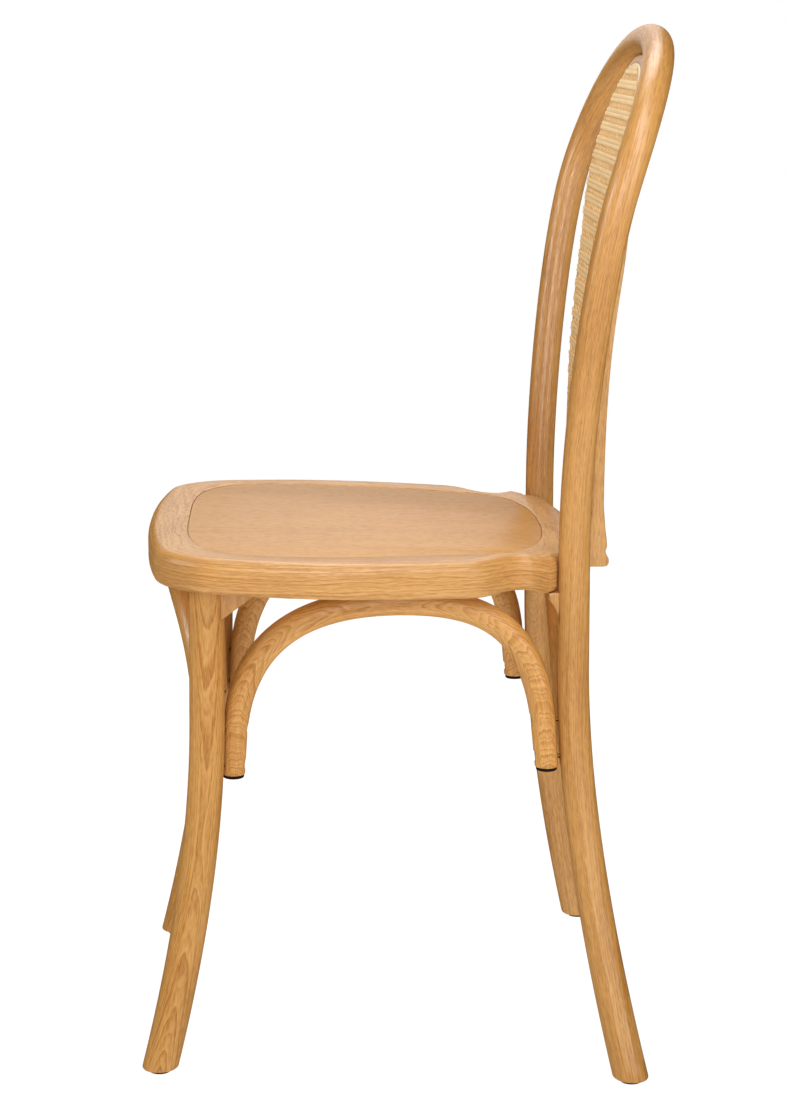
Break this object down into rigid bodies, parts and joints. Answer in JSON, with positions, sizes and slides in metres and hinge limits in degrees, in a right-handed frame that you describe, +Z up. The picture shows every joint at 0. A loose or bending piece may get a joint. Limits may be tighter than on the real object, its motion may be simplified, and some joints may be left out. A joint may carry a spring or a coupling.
{
  "type": "bentwood dining chair",
  "caption": "Bentwood dining chair with a continuous bent back hoop, a caned back in an inner hoop, a rounded panel seat and arched braces between splayed legs.",
  "frame": {"origin": "on the floor, under the middle of the chair's overall box", "axes": "+Z up, +Y towards the chair's back, +X towards the left of a person sitting in it"},
  "size_m": [0.4764, 0.4688, 0.9],
  "materials": {
    "frame_wood": "honey-coloured ash with a satin lacquer",
    "panel_wood": "pale veneered board with a satin lacquer",
    "cane": "natural woven cane, slightly glossy",
    "black_plastic": "matt black",
    "steel": "zinc-plated"
  },
  "bodies": {
    "root": {"back_hoop": "frame_wood", "cane_hoop": "frame_wood", "cane_rail": "frame_wood", "cane_panel": "cane", "cane_spline": "cane", "cane_foot_screw_left": "steel", "cane_foot_screw_right": "steel", "cane_top_screw_left": "steel", "cane_top_screw_right": "steel", "rail_dowel_left": "frame_wood", "rail_dowel_right": "frame_wood", "seat_frame": "frame_wood", "seat_panel": "panel_wood", "front_leg_left": "frame_wood", "front_leg_right": "frame_wood", "front_block_left": "frame_wood", "front_block_right": "frame_wood", "rear_block_left": "frame_wood", "rear_block_right": "frame_wood", "rear_leg_bolt_left": "steel", "rear_leg_bolt_right": "steel", "foot_glide_front_left": "black_plastic", "foot_glide_front_right": "black_plastic", "foot_glide_rear_left": "black_plastic", "foot_glide_rear_right": "black_plastic", "side_arch_left": "frame_wood", "side_arch_left_cap_front": "black_plastic", "side_arch_left_cap_rear": "black_plastic", "side_arch_left_screw_front_1": "steel", "side_arch_left_screw_front_2": "steel", "side_arch_left_screw_rear_1": "steel", "side_arch_left_screw_rear_2": "steel", "side_arch_left_seat_screw": "steel", "side_arch_right": "frame_wood", "side_arch_right_cap_front": "black_plastic", "side_arch_right_cap_rear": "black_plastic", "side_arch_right_screw_front_1": "steel", "side_arch_right_screw_front_2": "steel", "side_arch_right_screw_rear_1": "steel", "side_arch_right_screw_rear_2": "steel", "side_arch_right_seat_screw": "steel", "front_arch": "frame_wood", "front_arch_cap_left": "black_plastic", "front_arch_cap_right": "black_plastic", "front_arch_screw_left_1": "steel", "front_arch_screw_left_2": "steel", "front_arch_screw_right_1": "steel", "front_arch_screw_right_2": "steel", "front_arch_seat_screw": "steel", "rear_arch": "frame_wood", "rear_arch_cap_left": "black_plastic", "rear_arch_cap_right": "black_plastic", "rear_arch_screw_left_1": "steel", "rear_arch_screw_left_2": "steel", "rear_arch_screw_right_1": "steel", "rear_arch_screw_right_2": "steel", "rear_arch_seat_screw": "steel"}
  },
  "joints": []
}
